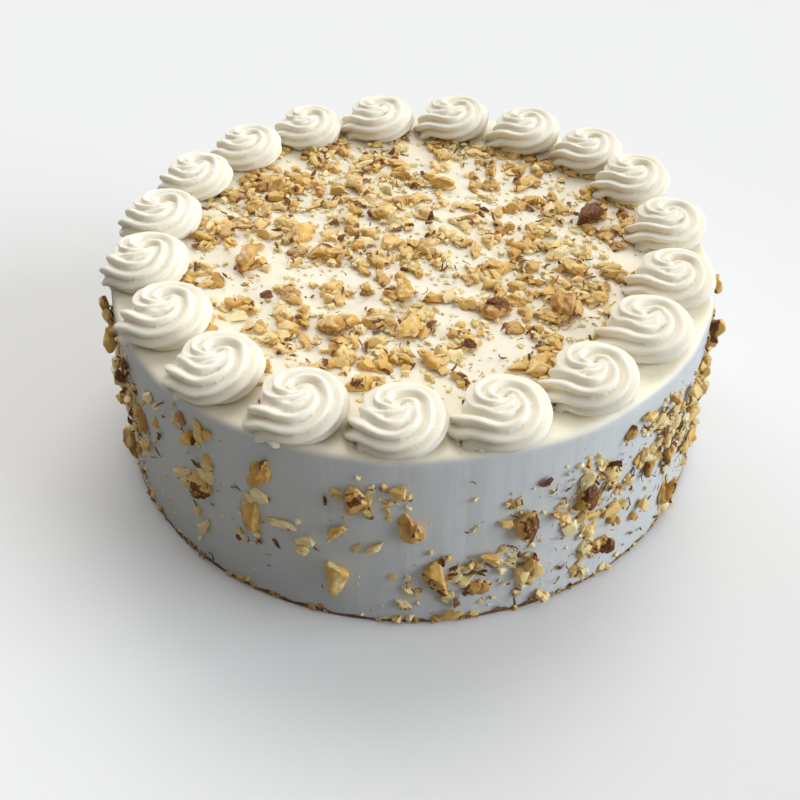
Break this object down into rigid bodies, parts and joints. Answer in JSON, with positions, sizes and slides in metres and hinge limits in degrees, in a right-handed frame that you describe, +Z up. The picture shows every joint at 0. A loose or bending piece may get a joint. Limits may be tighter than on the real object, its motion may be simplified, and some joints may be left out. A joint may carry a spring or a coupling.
{
  "type": "carrot cake",
  "caption": "Whole round frosted carrot cake with a crown of piped rosettes round its rim and chopped walnuts on its top and side.",
  "frame": {"origin": "middle of the cake's flat round underside", "axes": "+Z up through the middle of the cake, -Y towards the side seen from the front, +X to that viewer's right"},
  "size_m": [0.24, 0.246, 0.0946],
  "materials": {
    "frosting": "soft spread cream-cheese frosting, satin",
    "piped_frosting": "piped cream-cheese frosting, satin",
    "walnut": "broken walnut flesh with papery brown skin"
  },
  "bodies": {
    "root": {"frosted_cake": "frosting", "rosette_01": "piped_frosting", "rosette_02": "piped_frosting", "rosette_03": "piped_frosting", "rosette_04": "piped_frosting", "rosette_05": "piped_frosting", "rosette_06": "piped_frosting", "rosette_07": "piped_frosting", "rosette_08": "piped_frosting", "rosette_09": "piped_frosting", "rosette_10": "piped_frosting", "rosette_11": "piped_frosting", "rosette_12": "piped_frosting", "rosette_13": "piped_frosting", "rosette_14": "piped_frosting", "rosette_15": "piped_frosting", "rosette_16": "piped_frosting", "rosette_17": "piped_frosting", "rosette_18": "piped_frosting", "rosette_19": "piped_frosting", "walnut_top_01": "walnut", "walnut_top_02": "walnut", "walnut_top_03": "walnut", "walnut_top_04": "walnut", "walnut_top_05": "walnut", "walnut_top_06": "walnut", "walnut_top_07": "walnut", "walnut_top_08": "walnut", "walnut_top_09": "walnut", "walnut_top_10": "walnut", "walnut_top_11": "walnut", "walnut_top_12": "walnut", "walnut_side_01": "walnut", "walnut_side_02": "walnut", "walnut_side_03": "walnut", "walnut_side_04": "walnut", "walnut_side_05": "walnut", "walnut_side_06": "walnut", "walnut_side_07": "walnut", "walnut_side_08": "walnut", "walnut_side_09": "walnut", "walnut_side_10": "walnut", "walnut_side_11": "walnut", "walnut_side_12": "walnut"}
  },
  "joints": []
}
